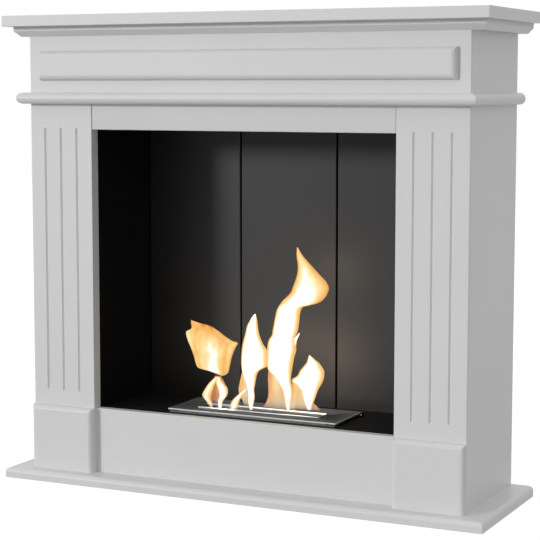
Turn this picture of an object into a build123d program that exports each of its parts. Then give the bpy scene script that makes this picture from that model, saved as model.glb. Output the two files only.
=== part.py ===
from build123d import *
import os

# Floor-standing bioethanol fireplace: a white MDF mantel surround on a base board,
# a steel-lined firebox, and a stainless burner that hangs in a cut-out of the hearth floor.
# Frame: X to the right, Y to the back, Z up, origin under the middle of the base board.
# All sizes are millimetres.

os.makedirs("parts", exist_ok=True)

# Overall sizes
total_h = 920.0
base_w = 1004.0
base_d = 306.0
base_t = 20.0
base_front = 42.0  # how far the base board stands in front of the columns
base_round = 9.0

# Surround: body, opening and boards
body_w = 915.0
opening_w = 635.0
sill_h = 148.0  # top of the plinth blocks and of the lower panel
header_h = 49.5
column_t = 23.0
panel_t = 16.0  # lower panel and header, flush with the backs of the columns
side_t = 18.0
inner_t = 16.0
edge_round = 2.5  # outer front corners of the body
arris = 1.0  # softened edge of a board

# Flutes in the columns, cut with a 90 degree V cutter
flute_d = 3.0
flute_n = 3
flute_pitch = 36.0
flute_low = 30.0  # from the sill height to the lower end
flute_high = 46.5  # from the upper end to the bullnose board

# Plinth blocks at the feet of the columns
block_t = 12.5
block_round = 9.0

# Mantel, from the top down
shelf_w = 1000.0
shelf_t = 21.0
shelf_front = 34.5
crown_side = 30.0
crown_front = 11.5
crown_t = 19.0
crown_chamfer = 10.5
frieze_h = 109.5
frieze_t = 22.0
field_w = 865.0
field_h = 57.0
field_low = 24.0  # from the bullnose board to the lower edge of the field
field_t = 12.0
field_round = 9.5
bullnose_t = 22.0
bullnose_front = 26.5
bullnose_side = 16.5
bullnose_flat = 0.1  # what the two roundings leave between them

# Carcass behind the faces
rail_h = 60.0
rail_t = 18.0
glue_leg = 28.0
glue_h = 60.0
bearer_h = 44.0
bearer_t = 22.0

# Firebox of black steel sheet
steel_t = 1.5
back_clear = 8.0  # from the folded back panels to the plane of the rear rails
firebox_over = 5.0  # ceiling above the lower edge of the header
hearth_t = 2.0
hearth_drop = 3.0  # hearth floor below the sill height
wall_flange = 12.0
back_n = 3
back_gap = 2.5
back_depth = 12.0
back_lip = 14.0
back_bend = 2.0  # outer radius of the folds
angle_leg = 20.0
angle_t = 2.5
angle_end = 70.0  # from the ceiling or the hearth floor to the nearer edge of an angle
screw_r = 2.0
screw_af = 7.0  # across the flats of the head
screw_head_h = 2.6
screw_l = 8.0
screw_clear = 0.1

# Burner
plate_w = 360.0
plate_d = 130.0
plate_t = 2.5
plate_corner = 2.0
burner_gap = 29.0  # from the back of the lower panel to the front edge of the plate
slot_l = 262.0
slot_w = 38.0
slot_shift = 12.0  # slot in front of the middle of the plate
slot_corner = 3.0
rim_h = 1.0
rim_t = 1.5
flange_inset = 1.5
tray_w = 296.0
tray_d = 110.0
tray_h = 60.0
tray_t = 2.0
tray_corner = 10.0
tray_clear = 2.0  # to the edge of the cut-out
guide_h = 2.5
guide_w = 4.0
wool_h = 30.0
wool_clear = 0.3

# Shutter under the plate, with its handle
shutter_t = 1.2
shutter_lap = 4.0  # beyond the slot, front and back
shutter_rest = 6.0  # what lies on the flange at each end
shutter_clear = 0.3
shutter_lift = 0.1
shutter_park = 1.5  # from the back edge of the slot to the parked shutter
handle_w = 9.0
handle_t = 1.0
handle_lap = 14.0
handle_out = 1.5  # knob clear of the edge of the plate
knob_r = 3.6
knob_l = 8.0
knob_chamfer = 0.6
knob_neck = 0.6
knob_pin_r = 1.6
knob_pin_out = 0.5

# Levels and planes that follow from the sizes
face_y = -base_d / 2 + base_front
back_y = base_d / 2
body_back_d = back_y - face_y
panel_back_y = face_y + column_t
shelf_z = total_h - shelf_t
crown_z = shelf_z - crown_t
frieze_z = crown_z - frieze_h
bullnose_z = frieze_z - bullnose_t
header_z = bullnose_z - header_h
body_h = bullnose_z - base_t
column_w = (body_w - opening_w) / 2
column_x = (body_w - column_w) / 2
hearth_z = sill_h - hearth_drop
ceiling_z = header_z + firebox_over
rail_y = back_y - rail_t
panels_y = rail_y - back_clear
firebox_y = panels_y - back_depth
firebox_d = firebox_y - panel_back_y
inner_x = opening_w / 2 + steel_t
side_x = body_w / 2 - side_t

# Base board with a rounded upper edge at the front and the sides
with BuildPart() as base_board:
    with BuildSketch():
        Rectangle(base_w, base_d)
    extrude(amount=base_t)
    top_edges = base_board.faces().sort_by(Axis.Z)[-1].edges()
    fillet(top_edges.sort_by(Axis.Y)[:-1], radius=base_round)
base_board.part.label = "base_board"
export_step(base_board.part, "parts/base_board.step")

# Columns, side panels, inner panels, plinth blocks and glue blocks, one of each per side
for side, name in ((-1, "left"), (1, "right")):
    # Column board with its flutes, each ended by the point of the cutter
    with BuildPart() as column:
        with BuildSketch(Plane.XY.offset(base_t)):
            with Locations((side * column_x, face_y + column_t / 2)):
                Rectangle(column_w, column_t)
        extrude(amount=body_h)
        front_corners = column.edges().filter_by(Axis.Z).group_by(Axis.Y)[0].sort_by(Axis.X)
        fillet(front_corners[-1 if side > 0 else 0], radius=edge_round)
        front_corners = column.edges().filter_by(Axis.Z).group_by(Axis.Y)[0].sort_by(Axis.X)
        fillet(front_corners[0 if side > 0 else -1], radius=arris)
        flute_z = sill_h + flute_low + flute_d
        flute_l = bullnose_z - flute_high - flute_d - flute_z
        with BuildSketch(Plane.XY.offset(flute_z)):
            with Locations((side * column_x, face_y)):
                with GridLocations(flute_pitch, 0, flute_n, 1):
                    RegularPolygon(radius=flute_d, side_count=4)
        extrude(amount=flute_l, mode=Mode.SUBTRACT)
        for end_z in (flute_z, flute_z + flute_l):
            with Locations((side * column_x, face_y, end_z)):
                with GridLocations(flute_pitch, 0, flute_n, 1):
                    Cone(bottom_radius=flute_d, top_radius=0, height=flute_d, rotation=(-90, 0, 0),
                         align=(Align.CENTER, Align.CENTER, Align.MIN), mode=Mode.SUBTRACT)
    column.part.label = f"{name}_column"
    export_step(column.part, f"parts/{name}_column.step")

    # Side panel behind the column board
    with BuildPart() as side_panel:
        with BuildSketch(Plane.XY.offset(base_t)):
            with Locations((side * (side_x + side_t / 2), (panel_back_y + back_y) / 2)):
                Rectangle(side_t, back_y - panel_back_y)
        extrude(amount=body_h)
    side_panel.part.label = f"{name}_side_panel"
    export_step(side_panel.part, f"parts/{name}_side_panel.step")

    # Inner panel that the firebox sheets are fixed to
    with BuildPart() as inner_panel:
        with BuildSketch(Plane.XY.offset(base_t)):
            with Locations((side * (inner_x + inner_t / 2), (panel_back_y + steel_t + rail_y) / 2)):
                Rectangle(inner_t, rail_y - panel_back_y - steel_t)
        extrude(amount=body_h)
    inner_panel.part.label = f"{name}_inner_panel"
    export_step(inner_panel.part, f"parts/{name}_inner_panel.step")

    # Plinth block, rounded along the top and both upright edges of its face
    with BuildPart() as plinth_block:
        with BuildSketch(Plane.XY.offset(base_t)):
            with Locations((side * column_x, face_y - block_t / 2)):
                Rectangle(column_w, block_t)
        extrude(amount=sill_h - base_t)
        face_edges = plinth_block.faces().sort_by(Axis.Y)[0].edges().sort_by(Axis.Z)
        fillet(face_edges[1:], radius=block_round)
    plinth_block.part.label = f"{name}_plinth_block"
    export_step(plinth_block.part, f"parts/{name}_plinth_block.step")

    # Steel side wall of the firebox, with a front flange behind the column
    with BuildPart() as firebox_wall:
        with BuildSketch(Plane.XY.offset(hearth_z - hearth_t)):
            with Locations((side * (opening_w + steel_t) / 2, (panel_back_y + firebox_y) / 2)):
                Rectangle(steel_t, firebox_d)
            with Locations((side * (opening_w + wall_flange) / 2, panel_back_y + steel_t / 2)):
                Rectangle(wall_flange, steel_t)
        extrude(amount=ceiling_z - hearth_z + hearth_t)
    firebox_wall.part.label = f"firebox_{name}_wall"
    export_step(firebox_wall.part, f"parts/firebox_{name}_wall.step")

    # Return of the frieze along the side
    with BuildPart() as frieze_return:
        with BuildSketch(Plane.XY.offset(frieze_z)):
            with Locations((side * (side_x + side_t / 2), (face_y + frieze_t + back_y) / 2)):
                Rectangle(side_t, back_y - face_y - frieze_t)
        extrude(amount=frieze_h)
    frieze_return.part.label = f"{name}_frieze_return"
    export_step(frieze_return.part, f"parts/{name}_frieze_return.step")

# Three-cornered glue blocks where each column board meets its side panel
with BuildPart() as glue_blocks:
    for block_z in (base_t, base_t + (body_h - glue_h) / 2, bullnose_z - glue_h):
        for side in (-1, 1):
            with BuildSketch(Plane.XY.offset(block_z)):
                with BuildLine():
                    Polyline(
                        (side * side_x, panel_back_y),
                        (side * (side_x - glue_leg), panel_back_y),
                        (side * side_x, panel_back_y + glue_leg),
                        close=True,
                    )
                make_face()
            extrude(amount=glue_h)
glue_blocks.part.label = "glue_blocks"
export_step(glue_blocks.part, "parts/glue_blocks.step")

# Lower front panel between the columns
with BuildPart() as lower_front_panel:
    with BuildSketch(Plane.XY.offset(base_t)):
        with Locations((0, panel_back_y - panel_t / 2)):
            Rectangle(opening_w, panel_t)
    extrude(amount=sill_h - base_t)
    top_front = lower_front_panel.edges().filter_by(Axis.X).group_by(Axis.Z)[-1].sort_by(Axis.Y)[0]
    fillet(top_front, radius=arris)
lower_front_panel.part.label = "lower_front_panel"
export_step(lower_front_panel.part, "parts/lower_front_panel.step")

# Header panel over the opening
with BuildPart() as header_panel:
    with BuildSketch(Plane.XY.offset(header_z)):
        with Locations((0, panel_back_y - panel_t / 2)):
            Rectangle(opening_w, panel_t)
    extrude(amount=header_h)
    low_front = header_panel.edges().filter_by(Axis.X).group_by(Axis.Z)[0].sort_by(Axis.Y)[0]
    fillet(low_front, radius=arris)
header_panel.part.label = "header_panel"
export_step(header_panel.part, "parts/header_panel.step")

# Bullnose board over the columns, half round at the front and the sides
with BuildPart() as bullnose_board:
    with BuildSketch(Plane.XY.offset(bullnose_z)):
        with Locations((0, (face_y - bullnose_front + back_y) / 2)):
            Rectangle(body_w + 2 * bullnose_side, body_back_d + bullnose_front)
    extrude(amount=bullnose_t)
    nose_edges = (
        bullnose_board.faces().sort_by(Axis.Z)[-1].edges().sort_by(Axis.Y)[:-1]
        + bullnose_board.faces().sort_by(Axis.Z)[0].edges().sort_by(Axis.Y)[:-1]
    )
    fillet(nose_edges, radius=(bullnose_t - bullnose_flat) / 2)
bullnose_board.part.label = "bullnose_board"
export_step(bullnose_board.part, "parts/bullnose_board.step")

# Frieze board between the bullnose board and the crown board
with BuildPart() as frieze_front:
    with BuildSketch(Plane.XY.offset(frieze_z)):
        with Locations((0, face_y + frieze_t / 2)):
            Rectangle(body_w, frieze_t)
    extrude(amount=frieze_h)
    fillet(frieze_front.edges().filter_by(Axis.Z).group_by(Axis.Y)[0], radius=edge_round)
frieze_front.part.label = "frieze_front"
export_step(frieze_front.part, "parts/frieze_front.step")

# Raised field on the frieze, with a quarter round on all four edges
with BuildPart() as raised_field:
    with BuildSketch(Plane.XZ.offset(-face_y)):
        with Locations((0, frieze_z + field_low + field_h / 2)):
            Rectangle(field_w, field_h)
    extrude(amount=field_t)
    fillet(raised_field.faces().sort_by(Axis.Y)[0].edges(), radius=field_round)
raised_field.part.label = "raised_field"
export_step(raised_field.part, "parts/raised_field.step")

# Crown board under the shelf, chamfered below
with BuildPart() as crown_board:
    with BuildSketch(Plane.XY.offset(crown_z)):
        with Locations((0, (face_y - crown_front + back_y) / 2)):
            Rectangle(body_w + 2 * crown_side, body_back_d + crown_front)
    extrude(amount=crown_t)
    low_edges = crown_board.faces().sort_by(Axis.Z)[0].edges()
    chamfer(low_edges.sort_by(Axis.Y)[:-1], length=crown_chamfer)
crown_board.part.label = "crown_board"
export_step(crown_board.part, "parts/crown_board.step")

# Mantel shelf
with BuildPart() as mantel_shelf:
    with BuildSketch(Plane.XY.offset(shelf_z)):
        with Locations((0, (face_y - shelf_front + back_y) / 2)):
            Rectangle(shelf_w, body_back_d + shelf_front)
    extrude(amount=shelf_t)
    fillet(mantel_shelf.faces().sort_by(Axis.Y)[0].edges(), radius=arris)
mantel_shelf.part.label = "mantel_shelf"
export_step(mantel_shelf.part, "parts/mantel_shelf.step")

# Rails between the side panels at the open back
for rail_z, name in ((base_t, "bottom"), (bullnose_z - rail_h, "top")):
    with BuildPart() as rear_rail:
        with BuildSketch(Plane.XY.offset(rail_z)):
            with Locations((0, back_y - rail_t / 2)):
                Rectangle(2 * side_x, rail_t)
        extrude(amount=rail_h)
    rear_rail.part.label = f"rear_{name}_rail"
    export_step(rear_rail.part, f"parts/rear_{name}_rail.step")

# Bearers between the inner panels, under the front and back edges of the hearth floor
for bearer_y, name in ((panel_back_y + bearer_t / 2, "front"), (panels_y - bearer_t / 2, "rear")):
    with BuildPart() as bearer:
        with BuildSketch(Plane.XY.offset(hearth_z - hearth_t)):
            with Locations((0, bearer_y)):
                Rectangle(2 * inner_x, bearer_t)
        extrude(amount=-bearer_h)
    bearer.part.label = f"{name}_hearth_bearer"
    export_step(bearer.part, f"parts/{name}_hearth_bearer.step")

# Hearth floor with the cut-out for the burner
plate_y = panel_back_y + burner_gap + plate_d / 2
slot_y = plate_y - slot_shift
with BuildPart() as hearth_floor:
    with BuildSketch(Plane.XY.offset(hearth_z)):
        with Locations((0, (panel_back_y + panels_y) / 2)):
            Rectangle(opening_w, panels_y - panel_back_y)
        with Locations((0, plate_y)):
            RectangleRounded(tray_w + 2 * tray_clear, tray_d + 2 * tray_clear,
                             tray_corner + tray_clear, mode=Mode.SUBTRACT)
    extrude(amount=-hearth_t)
hearth_floor.part.label = "hearth_floor"
export_step(hearth_floor.part, "parts/hearth_floor.step")

# Ceiling sheet on top of the side walls and back panels
with BuildPart() as firebox_ceiling:
    with BuildSketch(Plane.XY.offset(ceiling_z)):
        with Locations((0, (panel_back_y + panels_y) / 2)):
            Rectangle(2 * inner_x, panels_y - panel_back_y)
    extrude(amount=steel_t)
firebox_ceiling.part.label = "firebox_ceiling"
export_step(firebox_ceiling.part, "parts/firebox_ceiling.step")

# Back panels: folded sheets with returned lips, screwed to two angles
back_pitch = opening_w / back_n
back_w = back_pitch - back_gap
lip_x = back_w / 2 - back_lip / 2
angle_zs = (hearth_z + angle_end, ceiling_z - angle_end - angle_leg)
back_names = ("left", "centre", "right")
for index, name in enumerate(back_names):
    with BuildPart() as back_panel:
        with BuildSketch(Plane.XY.offset(hearth_z)):
            with Locations(((index - (back_n - 1) / 2) * back_pitch, firebox_y + back_depth / 2)):
                Rectangle(back_w, back_depth)
                Rectangle(back_w - 2 * steel_t, back_depth - 2 * steel_t, mode=Mode.SUBTRACT)
                Rectangle(back_w - 2 * back_lip, back_depth,
                          align=(Align.CENTER, Align.MIN), mode=Mode.SUBTRACT)
        extrude(amount=ceiling_z - hearth_z)
        fillet(back_panel.edges().filter_by(Axis.Z).group_by(Axis.Y)[1], radius=back_bend - steel_t)
        fillet(back_panel.edges().filter_by(Axis.Z).group_by(Axis.Y)[0], radius=back_bend)
        for angle_z in angle_zs:
            lip_plane = Plane.XZ.offset(-panels_y)
            with BuildSketch(lip_plane):
                with Locations(((index - (back_n - 1) / 2) * back_pitch, angle_z + angle_leg / 2)):
                    with GridLocations(2 * lip_x, 0, 2, 1):
                        Circle(screw_r + screw_clear)
            extrude(amount=steel_t, mode=Mode.SUBTRACT)
    back_panel.part.label = f"firebox_back_{name}"
    export_step(back_panel.part, f"parts/firebox_back_{name}.step")

# Angles across the back of the panels, between the inner panels
for angle_z, name in zip(angle_zs, ("lower", "upper")):
    with BuildPart() as back_angle:
        with BuildSketch(Plane.YZ.offset(-inner_x)):
            with Locations((panels_y + angle_t / 2, angle_z + angle_leg / 2)):
                Rectangle(angle_t, angle_leg)
            with Locations((panels_y + angle_leg / 2, angle_z + angle_t / 2)):
                Rectangle(angle_leg, angle_t)
        extrude(amount=2 * inner_x)
        with BuildSketch(Plane.XZ.offset(-panels_y)):
            with Locations((0, angle_z + angle_leg / 2)):
                with GridLocations(back_pitch, 0, back_n, 1):
                    with GridLocations(2 * lip_x, 0, 2, 1):
                        Circle(screw_r + screw_clear)
        extrude(amount=-angle_t, mode=Mode.SUBTRACT)
    back_angle.part.label = f"{name}_back_angle"
    export_step(back_angle.part, f"parts/{name}_back_angle.step")

# Hexagon screws that hold the back panels to the angles
with BuildPart() as back_panel_screws:
    for angle_z in angle_zs:
        for plane_y, radius, sides, length in (
            (panels_y + angle_t, screw_af / 2, 6, -screw_head_h),
            (panels_y + angle_t, screw_r, 0, screw_l),
        ):
            with BuildSketch(Plane.XZ.offset(-plane_y)):
                with Locations((0, angle_z + angle_leg / 2)):
                    with GridLocations(back_pitch, 0, back_n, 1):
                        with GridLocations(2 * lip_x, 0, 2, 1):
                            if sides:
                                RegularPolygon(radius, sides, major_radius=False)
                            else:
                                Circle(radius)
            extrude(amount=length)
back_panel_screws.part.label = "back_panel_screws"
export_step(back_panel_screws.part, "parts/back_panel_screws.step")

# Fuel tray: a rounded box under a flange that lies on the hearth floor
tray_in_w = tray_w - 2 * tray_t
tray_in_d = tray_d - 2 * tray_t
flange_w = plate_w - 2 * flange_inset
flange_d = plate_d - 2 * flange_inset
with BuildPart() as fuel_tray:
    with BuildSketch(Plane.XY.offset(hearth_z)):
        with Locations((0, plate_y)):
            RectangleRounded(flange_w, flange_d, plate_corner)
    extrude(amount=tray_t)
    with BuildSketch(Plane.XY.offset(hearth_z)):
        with Locations((0, plate_y)):
            RectangleRounded(tray_w, tray_d, tray_corner)
    extrude(amount=-tray_h)
    with BuildSketch(Plane.XY.offset(hearth_z + tray_t)):
        with Locations((0, plate_y)):
            RectangleRounded(tray_in_w, tray_in_d, tray_corner - tray_t)
    extrude(amount=-tray_h, mode=Mode.SUBTRACT)
fuel_tray.part.label = "fuel_tray"
export_step(fuel_tray.part, "parts/fuel_tray.step")

# Ceramic wool in the bottom of the tray
wool_z = hearth_z - tray_h + tray_t + wool_clear
with BuildPart() as ceramic_wool:
    with BuildSketch(Plane.XY.offset(wool_z)):
        with Locations((0, plate_y)):
            RectangleRounded(tray_in_w - 2 * wool_clear, tray_in_d - 2 * wool_clear,
                             tray_corner - tray_t)
    extrude(amount=wool_h)
ceramic_wool.part.label = "ceramic_wool"
export_step(ceramic_wool.part, "parts/ceramic_wool.step")

# Top plate with the flame slot and its raised rim
plate_z = hearth_z + tray_t + guide_h
with BuildPart() as burner_plate:
    with BuildSketch(Plane.XY.offset(plate_z)):
        with Locations((0, plate_y)):
            RectangleRounded(plate_w, plate_d, plate_corner)
    extrude(amount=plate_t)
    fillet(burner_plate.faces().sort_by(Axis.Z)[-1].edges(), radius=arris)
    with BuildSketch(Plane.XY.offset(plate_z + plate_t)):
        with Locations((0, slot_y)):
            RectangleRounded(slot_l + 2 * rim_t, slot_w + 2 * rim_t, slot_corner + rim_t)
    extrude(amount=rim_h)
    with BuildSketch(Plane.XY.offset(plate_z)):
        with Locations((0, slot_y)):
            RectangleRounded(slot_l, slot_w, slot_corner)
    extrude(amount=plate_t + rim_h, mode=Mode.SUBTRACT)
burner_plate.part.label = "burner_plate"
export_step(burner_plate.part, "parts/burner_plate.step")

# Shutter: parked behind the slot, drawn forward over it
shutter_l = tray_in_w + 2 * shutter_rest
shutter_w = slot_w + 2 * shutter_lap
shutter_y = slot_y + slot_w / 2 + shutter_park + shutter_w / 2
shutter_travel = shutter_y - slot_y
shutter_z = hearth_z + tray_t + shutter_lift
with BuildPart() as shutter_blade:
    with BuildSketch(Plane.XY.offset(shutter_z)):
        with Locations((0, shutter_y)):
            Rectangle(shutter_l, shutter_w)
    extrude(amount=shutter_t)
shutter_blade.part.label = "shutter_blade"
export_step(shutter_blade.part, "parts/shutter_blade.step")

# Handle strip on the right end of the blade, over the low part of the guide
handle_y = shutter_y + shutter_w / 2 - handle_w / 2
handle_z = shutter_z + shutter_t
handle_end = plate_w / 2 + handle_out
with BuildPart() as shutter_handle:
    with BuildSketch(Plane.XY.offset(handle_z)):
        with Locations((shutter_l / 2 - handle_lap, handle_y)):
            Rectangle(handle_end - shutter_l / 2 + handle_lap, handle_w,
                      align=(Align.MIN, Align.CENTER))
    extrude(amount=handle_t)
shutter_handle.part.label = "shutter_handle"
export_step(shutter_handle.part, "parts/shutter_handle.step")

# Knob on the end of the strip: a short neck and a turned body with a pin end at its front
knob_x = handle_end + knob_neck + knob_r
knob_z = handle_z + handle_t / 2
with BuildPart() as shutter_knob:
    with BuildSketch(Plane.XZ.offset(knob_l / 2 - handle_y)):
        with Locations((knob_x, knob_z)):
            Circle(knob_r)
    extrude(amount=-knob_l)
    chamfer(shutter_knob.edges().filter_by(GeomType.CIRCLE), length=knob_chamfer)
    with BuildSketch(Plane.XZ.offset(knob_l / 2 - handle_y)):
        with Locations((knob_x, knob_z)):
            Circle(knob_pin_r)
    extrude(amount=knob_pin_out)
    with BuildSketch(Plane.YZ.offset(handle_end)):
        with Locations((handle_y, knob_z)):
            Rectangle(handle_w / 2, handle_t)
    extrude(amount=knob_neck + knob_r)
shutter_knob.part.label = "shutter_knob"
export_step(shutter_knob.part, "parts/shutter_knob.step")

# Spacers under the front and back edges of the plate
guide_x = shutter_l / 2 + shutter_clear
flange_top = hearth_z + tray_t
front_ledge_y = plate_y - (tray_in_d + flange_d) / 4
rear_spacer_y = shutter_y + shutter_w / 2 + shutter_clear + guide_w / 2 + arris
for spacer_y, name in ((front_ledge_y, "front"), (rear_spacer_y, "rear")):
    with BuildPart() as plate_spacer:
        with BuildSketch(Plane.XY.offset(flange_top)):
            with Locations((0, spacer_y)):
                Rectangle(2 * (guide_x + guide_w), guide_w)
        extrude(amount=guide_h)
    plate_spacer.part.label = f"{name}_plate_spacer"
    export_step(plate_spacer.part, f"parts/{name}_plate_spacer.step")

# Guides at the ends of the shutter; the right one is low where the handle passes over it
guide_front_y = front_ledge_y + guide_w / 2
guide_back_y = rear_spacer_y - guide_w / 2
guide_step_y = handle_y - shutter_travel - handle_w / 2 - shutter_clear
guide_low = shutter_lift + shutter_t - shutter_clear
for side, name in ((-1, "left"), (1, "right")):
    with BuildPart() as shutter_guide:
        with BuildSketch(Plane.YZ.offset(side * guide_x)):
            with Locations((guide_front_y, flange_top)):
                Rectangle(guide_back_y - guide_front_y, guide_h, align=(Align.MIN, Align.MIN))
            if side > 0:
                with Locations((guide_step_y, flange_top + guide_low)):
                    Rectangle(guide_back_y - guide_step_y, guide_h - guide_low,
                              align=(Align.MIN, Align.MIN), mode=Mode.SUBTRACT)
        extrude(amount=side * guide_w)
    shutter_guide.part.label = f"{name}_shutter_guide"
    export_step(shutter_guide.part, f"parts/{name}_shutter_guide.step")
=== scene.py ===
"""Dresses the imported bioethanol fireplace: finishes, burner details, flames, light and camera."""

import logging
import math
from dataclasses import dataclass
from enum import Enum
from typing import Any

import bmesh
import bpy
from mathutils import Matrix, Vector, noise


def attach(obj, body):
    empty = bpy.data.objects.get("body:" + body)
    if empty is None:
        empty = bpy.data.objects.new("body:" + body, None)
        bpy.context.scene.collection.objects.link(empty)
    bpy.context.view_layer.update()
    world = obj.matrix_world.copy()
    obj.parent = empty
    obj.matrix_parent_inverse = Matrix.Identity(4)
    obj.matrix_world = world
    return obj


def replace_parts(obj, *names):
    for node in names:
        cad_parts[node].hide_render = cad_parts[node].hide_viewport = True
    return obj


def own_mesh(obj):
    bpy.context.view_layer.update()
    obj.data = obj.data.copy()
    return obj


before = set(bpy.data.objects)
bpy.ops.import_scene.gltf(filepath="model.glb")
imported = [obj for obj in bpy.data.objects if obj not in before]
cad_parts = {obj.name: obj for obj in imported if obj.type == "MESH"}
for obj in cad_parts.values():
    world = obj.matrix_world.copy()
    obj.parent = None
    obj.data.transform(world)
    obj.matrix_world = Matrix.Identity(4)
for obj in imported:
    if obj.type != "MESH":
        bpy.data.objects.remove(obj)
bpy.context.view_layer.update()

MM = 0.001
WELD_M = 1e-6  # corners nearer than this are merged


class Grain(Enum):
    """Direction in which a bar's wood runs."""

    ALONG_X = (1.0, 0.0, 0.0)
    ALONG_Z = (0.0, 0.0, 1.0)


def linear(hex_colour: str) -> tuple[float, float, float, float]:
    """Turns an sRGB hex colour to linear.

    Args:
        hex_colour: The colour as six hex digits.

    Returns:
        Linear red, green, blue and an alpha of 1.
    """
    parts = [int(hex_colour[i : i + 2], 16) / 255 for i in (0, 2, 4)]
    red, green, blue = (c / 12.92 if c <= 0.04045 else ((c + 0.055) / 1.055) ** 2.4 for c in parts)
    return red, green, blue, 1.0


WHITE = linear("ffffff")


def add(
    tree: bpy.types.NodeTree,
    kind: str,
    settings: dict[str, Any] | None = None,
    inputs: dict[str | int, Any] | None = None,
) -> bpy.types.Node:
    """Adds a node with its settings and links.

    Args:
        tree: The node tree it goes into.
        kind: The node's type, without the ShaderNode in front.
        settings: Values for the node's own properties.
        inputs: For each input, a value, the output that it is linked to, or a node, whose first output is meant.

    Returns:
        The new node.
    """
    node = tree.nodes.new("ShaderNode" + kind)
    for key, value in (settings or {}).items():
        setattr(node, key, value)
    for key, value in (inputs or {}).items():
        if isinstance(value, bpy.types.Node):
            value = next(output for output in value.outputs if output.enabled)
        if isinstance(value, bpy.types.NodeSocket):
            tree.links.new(value, node.inputs[key])
        else:
            node.inputs[key].default_value = value
    return node


def colour_stops(ramp: bpy.types.Node, stops: list[tuple[float, tuple[float, ...]]]) -> None:
    """Sets the stops of a colour ramp.

    Args:
        ramp: A colour ramp node.
        stops: Place and linear colour of each stop, in order.
    """
    elements = ramp.color_ramp.elements
    while len(elements) < len(stops):
        elements.new(0.5)
    for element, (place, colour) in zip(elements, stops):
        element.position = place
        element.color = colour


def object_place(tree: bpy.types.NodeTree, stretch: tuple[float, float, float] = (1, 1, 1)) -> bpy.types.Node:
    """Object coordinates, stretched along the axes."""
    place = add(tree, "TexCoord").outputs["Object"]
    return add(tree, "Mapping", inputs={"Vector": place, "Scale": stretch})


def object_axes(tree: bpy.types.NodeTree) -> bpy.types.bpy_prop_collection:
    """Object coordinates as the outputs X, Y and Z."""
    return add(tree, "SeparateXYZ", inputs={0: add(tree, "TexCoord").outputs["Object"]}).outputs


def seen_straight(tree: bpy.types.NodeTree) -> bpy.types.Node:
    """Gives 1 to the camera's view and to reflections, and 0 to light that falls on the object."""
    path = add(tree, "LightPath").outputs
    return add(tree, "Math", {"operation": "MAXIMUM"}, {0: path["Is Camera Ray"], 1: path["Is Glossy Ray"]})


def per_metre(size_mm: float) -> float:
    """Scale of a texture whose features are this many millimetres apart."""
    return 1.0 / (size_mm * MM)


class Finish:
    """A material with one shader, which each finish builds in its own way."""

    name: str

    def make(self) -> bpy.types.Material:
        """Builds the material.

        Returns:
            The material, named for the finish.
        """
        material = bpy.data.materials.new(self.name)
        material.use_nodes = True
        tree = material.node_tree
        tree.nodes.clear()
        add(tree, "OutputMaterial", inputs={"Surface": self.skin(tree)})
        return material

    def skin(self, tree: bpy.types.NodeTree) -> bpy.types.Node:
        """Builds the shader."""
        raise NotImplementedError


@dataclass(frozen=True)
class SatinLacquer(Finish):
    """White satin lacquer, rolled and sprayed on MDF: even, soft sheen, a faint orange peel."""

    name: str = "satin_white_lacquer"
    tone: str = "dfdfde"
    shade: str = "d9d9d9"
    peel_mm: float = 3.0  # real peel is about 1 mm, drawn coarser so that it shows
    peel_depth_mm: float = 0.02
    cloud_mm: float = 260.0
    roughness: float = 0.42
    rough_spread: float = 0.05

    def skin(self, tree: bpy.types.NodeTree) -> bpy.types.Node:
        """Builds the shader.

        Args:
            tree: The node tree that takes it.

        Returns:
            The shader's node.
        """
        place = object_place(tree)
        cloud = add(tree, "TexNoise", inputs={"Vector": place, "Scale": per_metre(self.cloud_mm), "Detail": 2.0})
        peel = add(tree, "TexNoise", inputs={"Vector": place, "Scale": per_metre(self.peel_mm), "Detail": 3.0})
        colour = add(tree, "Mix", {"data_type": "RGBA"}, {
            "Factor": cloud, "A": linear(self.tone), "B": linear(self.shade)})
        rough = add(tree, "MapRange", inputs={
            "Value": peel, "To Min": self.roughness - self.rough_spread, "To Max": self.roughness + self.rough_spread})
        bump = add(tree, "Bump", inputs={"Height": peel, "Strength": 0.5, "Distance": self.peel_depth_mm * MM})
        return add(tree, "BsdfPrincipled", inputs={
            "Base Color": colour, "Roughness": rough, "Normal": bump, "IOR": 1.5})


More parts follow.
